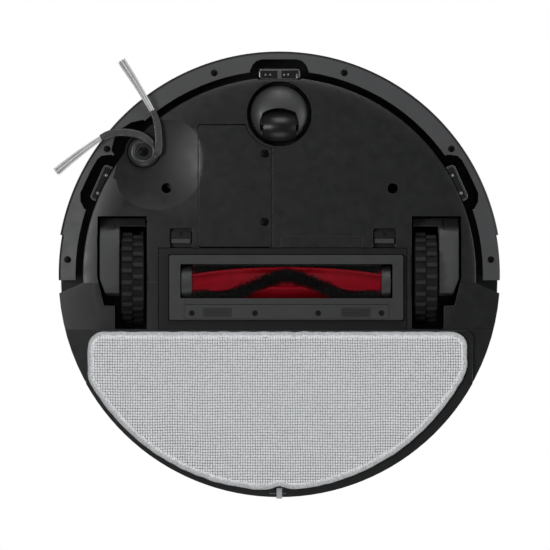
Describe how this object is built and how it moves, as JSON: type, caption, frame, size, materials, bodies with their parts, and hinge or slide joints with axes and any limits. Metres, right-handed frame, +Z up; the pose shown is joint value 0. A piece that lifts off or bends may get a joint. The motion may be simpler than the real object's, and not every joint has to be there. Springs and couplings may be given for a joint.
{
  "type": "robot vacuum",
  "caption": "Round robot vacuum cleaner with a bumper, a side brush, a rubber roller brush, sprung drive wheels, a scanning turret and a half-moon mopping cloth.",
  "frame": {"origin": "on the floor under the middle of the body", "axes": "+Z up; -Y is the front, where the bumper is; +X is the machine's own left side"},
  "size_m": [0.3545, 0.3544, 0.0965],
  "materials": {
    "matte_black_plastic": "fine matte moulded black plastic",
    "satin_black_plastic": "satin black plastic",
    "charcoal_plastic": "charcoal moulded plastic",
    "smoked_lens": "smoked infrared window",
    "smoked_clear_plastic": "smoked clear plastic",
    "gloss_black_rubber": "smooth glossy black rubber",
    "tyre_rubber": "matte dark grey treaded rubber",
    "grey_rubber": "soft translucent grey rubber",
    "red_rubber": "satin red rubber",
    "nylon_bristle": "pale grey nylon filaments",
    "black_bristle": "black nylon bristles",
    "microfibre_cloth": "pale grey looped microfibre",
    "grey_plastic": "mid grey plastic",
    "black_screw": "blackened steel",
    "bright_steel": "ground steel",
    "plated_contact": "nickel plated",
    "motor_housing": "plain moulded plastic",
    "battery_wrap": "shrink wrap",
    "circuit_board": "solder mask",
    "filter_paper": "pleated filter paper"
  },
  "bodies": {
    "chassis": {"chassis_base": "matte_black_plastic", "side_frame": "matte_black_plastic", "top_cover": "satin_black_plastic", "battery_cover": "matte_black_plastic", "battery_cover_screw_front": "black_screw", "battery_cover_screw_rear": "black_screw", "battery_pack": "battery_wrap", "main_board": "circuit_board", "blower_housing": "motor_housing", "blower_motor": "bright_steel", "brush_chamber": "matte_black_plastic", "roller_gearbox": "motor_housing", "side_brush_gearbox": "motor_housing", "cliff_sensor_front": "smoked_lens", "cliff_sensor_left": "smoked_lens", "cliff_sensor_right": "smoked_lens", "charging_contact_left": "plated_contact", "charging_contact_right": "plated_contact", "lidar_base": "satin_black_plastic", "suspension_pin_left": "bright_steel", "suspension_pin_right": "bright_steel"},
    "bumper": {"bumper_shell": "charcoal_plastic"},
    "wheel_arm_left": {"wheel_arm_left": "charcoal_plastic"},
    "wheel_arm_right": {"wheel_arm_right": "charcoal_plastic"},
    "drive_wheel_left": {"wheel_hub_left": "satin_black_plastic", "wheel_tyre_left": "tyre_rubber"},
    "drive_wheel_right": {"wheel_hub_right": "satin_black_plastic", "wheel_tyre_right": "tyre_rubber"},
    "caster_fork": {"caster_swivel": "satin_black_plastic", "caster_axle": "bright_steel"},
    "caster_roll": {"caster_wheel": "gloss_black_rubber"},
    "side_brush": {"side_brush_hub": "satin_black_plastic", "side_brush_screw": "black_screw", "side_brush_arm_front": "grey_rubber", "side_brush_arm_outer": "grey_rubber", "side_brush_bristles_front": "nylon_bristle", "side_brush_bristles_outer": "nylon_bristle"},
    "main_brush": {"roller_rubber": "red_rubber", "roller_bristle_strip": "black_bristle", "roller_end_cap_left": "charcoal_plastic", "roller_end_cap_right": "charcoal_plastic", "roller_coupler": "satin_black_plastic"},
    "brush_cover": {"brush_cover": "charcoal_plastic", "cover_wiper_plate": "charcoal_plastic"},
    "cover_latch_left": {"cover_latch_left": "charcoal_plastic"},
    "cover_latch_right": {"cover_latch_right": "charcoal_plastic"},
    "mop": {"mop_bracket": "matte_black_plastic", "mop_cloth": "microfibre_cloth"},
    "mop_tab": {"mop_release_tab": "grey_plastic"},
    "rear_module": {"dustbin": "smoked_clear_plastic", "dustbin_filter": "filter_paper", "water_tank": "satin_black_plastic"},
    "fan": {"fan_impeller": "satin_black_plastic"},
    "lidar_rotor": {"lidar_rotor": "motor_housing"},
    "lidar_cap": {"lidar_cap": "satin_black_plastic"},
    "power_button": {"power_button": "satin_black_plastic"},
    "home_button": {"home_button": "satin_black_plastic"}
  },
  "joints": [
    {"name": "bumper_press", "type": "slide", "parent": "chassis", "child": "bumper", "axis": [0, 1, 0], "range_m": [0, 0.0025], "stiffness_N_per_m": 600, "springref_m": -0.001},
    {"name": "suspension_left", "type": "hinge", "parent": "chassis", "child": "wheel_arm_left", "pos_m": [0.124, -0.0415, 0.03], "axis": [-1, 0, 0], "range_deg": [0, 24], "stiffness_Nm_per_rad": 0.05, "springref_deg": 34.38},
    {"name": "suspension_right", "type": "hinge", "parent": "chassis", "child": "wheel_arm_right", "pos_m": [-0.124, -0.0415, 0.03], "axis": [-1, 0, 0], "range_deg": [0, 24], "stiffness_Nm_per_rad": 0.05, "springref_deg": 34.38},
    {"name": "drive_wheel_left_spin", "type": "hinge", "parent": "wheel_arm_left", "child": "drive_wheel_left", "pos_m": [0.116, 0.0018, 0.038], "axis": [1, 0, 0], "continuous": true},
    {"name": "drive_wheel_right_spin", "type": "hinge", "parent": "wheel_arm_right", "child": "drive_wheel_right", "pos_m": [-0.116, 0.0018, 0.038], "axis": [1, 0, 0], "continuous": true},
    {"name": "caster_turn", "type": "hinge", "parent": "chassis", "child": "caster_fork", "pos_m": [0, -0.1268, 0], "axis": [0, 0, 1], "continuous": true},
    {"name": "caster_wheel_spin", "type": "hinge", "parent": "caster_fork", "child": "caster_roll", "pos_m": [0, -0.1168, 0.013], "axis": [1, 0, 0], "continuous": true},
    {"name": "side_brush_spin", "type": "hinge", "parent": "chassis", "child": "side_brush", "pos_m": [-0.1075, -0.0969, 0], "axis": [0, 0, 1], "continuous": true},
    {"name": "main_brush_spin", "type": "hinge", "parent": "chassis", "child": "main_brush", "pos_m": [0, 0.007, 0.0192], "axis": [1, 0, 0], "continuous": true},
    {"name": "brush_cover_lift_off", "type": "slide", "parent": "chassis", "child": "brush_cover", "axis": [0, 0, -1], "range_m": [0, 0.03]},
    {"name": "cover_latch_left_press", "type": "slide", "parent": "chassis", "child": "cover_latch_left", "axis": [0, 1, 0], "range_m": [0, 0.002], "stiffness_N_per_m": 300, "springref_m": -0.0005},
    {"name": "cover_latch_right_press", "type": "slide", "parent": "chassis", "child": "cover_latch_right", "axis": [0, 1, 0], "range_m": [0, 0.002], "stiffness_N_per_m": 300, "springref_m": -0.0005},
    {"name": "mop_pull_off", "type": "slide", "parent": "chassis", "child": "mop", "axis": [0, 1, 0], "range_m": [0, 0.15]},
    {"name": "mop_tab_press", "type": "slide", "parent": "mop", "child": "mop_tab", "axis": [0, -1, 0], "range_m": [0, 0.0015], "stiffness_N_per_m": 300, "springref_m": -0.0005},
    {"name": "rear_module_pull_out", "type": "slide", "parent": "chassis", "child": "rear_module", "axis": [0, 1, 0], "range_m": [0, 0.13]},
    {"name": "fan_spin", "type": "hinge", "parent": "chassis", "child": "fan", "pos_m": [0.108, 0.08, 0.017], "axis": [0, 0, 1], "continuous": true},
    {"name": "lidar_spin", "type": "hinge", "parent": "chassis", "child": "lidar_rotor", "pos_m": [0, 0.04, 0.0796], "axis": [0, 0, 1], "continuous": true},
    {"name": "lidar_cap_press", "type": "slide", "parent": "chassis", "child": "lidar_cap", "axis": [0, 0, -1], "range_m": [0, 0.001], "stiffness_N_per_m": 800, "springref_m": -0.002},
    {"name": "power_button_press", "type": "slide", "parent": "chassis", "child": "power_button", "axis": [0, 0, -1], "range_m": [0, 0.0008], "stiffness_N_per_m": 400, "springref_m": -0.001},
    {"name": "home_button_press", "type": "slide", "parent": "chassis", "child": "home_button", "axis": [0, 0, -1], "range_m": [0, 0.0008], "stiffness_N_per_m": 400, "springref_m": -0.001}
  ]
}
